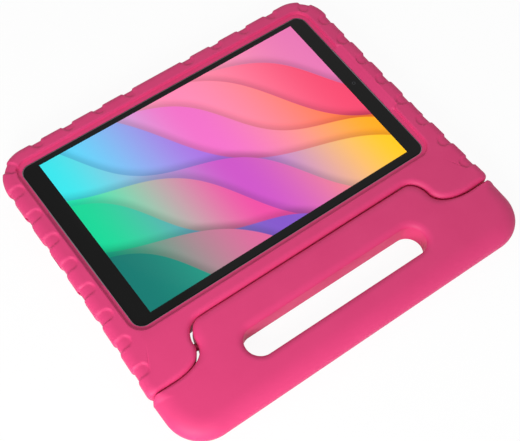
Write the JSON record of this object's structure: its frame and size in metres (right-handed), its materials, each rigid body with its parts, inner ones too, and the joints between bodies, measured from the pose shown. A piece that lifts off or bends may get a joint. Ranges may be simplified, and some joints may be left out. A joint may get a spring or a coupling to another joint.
{
  "type": "kids tablet case with handle",
  "caption": "Soft foam tablet case with a tablet in it, a raised front frame, grip recesses round its rim and a hinged carry handle that folds back as a stand.",
  "frame": {"origin": "middle of the whole object, on the plane that its back rests on", "axes": "+X along the tablet's long side towards its front camera, +Y away from the handle, +Z out of the screen"},
  "size_m": [0.2856, 0.2484, 0.0195],
  "materials": {
    "foam": "matte closed-cell foam, pink",
    "hinge_plastic": "satin moulded plastic, deep pink",
    "rubber": "matte black rubber",
    "housing_metal": "bead-blasted and anodised, dark grey",
    "cover_glass": "polished, printed black behind the border",
    "screen": "lit picture of coloured shapes",
    "cell": "satin dark grey film",
    "board": "satin green laminate",
    "lens_glass": "polished, near black",
    "black_plastic": "matte black plastic",
    "steel": "drawn steel"
  },
  "bodies": {
    "case": {"case_body": "foam", "hinge_socket_right": "hinge_plastic", "hinge_socket_left": "hinge_plastic", "hinge_friction_ring_right": "rubber", "hinge_friction_ring_left": "rubber", "tablet_housing": "housing_metal", "tablet_glass": "cover_glass", "display_panel": "screen", "battery": "cell", "main_board": "board", "front_camera": "lens_glass", "rear_camera_ring": "housing_metal", "rear_camera_lens": "lens_glass", "rear_camera_module": "black_plastic", "usb_socket": "steel", "audio_socket": "black_plastic", "speaker_upper": "black_plastic", "speaker_lower": "black_plastic"},
    "handle": {"handle": "foam", "hinge_axle_right": "hinge_plastic", "hinge_axle_left": "hinge_plastic"},
    "power_key": {"power_key": "housing_metal"},
    "volume_key": {"volume_key": "housing_metal"}
  },
  "joints": [
    {"name": "handle_hinge", "type": "hinge", "parent": "case", "child": "handle", "pos_m": [0, -0.06535, 0.00975], "axis": [1, 0, 0], "range_deg": [0, 105]},
    {"name": "power_key_press", "type": "slide", "parent": "case", "child": "power_key", "axis": [0, -1, 0], "range_m": [0, 0.0003], "stiffness_N_per_m": 2000},
    {"name": "volume_key_rock", "type": "hinge", "parent": "case", "child": "volume_key", "pos_m": [0.074, 0.11045, 0.0121], "axis": [0, 0, 1], "range_deg": [-1.4, 1.4], "stiffness_Nm_per_rad": 0.4}
  ]
}
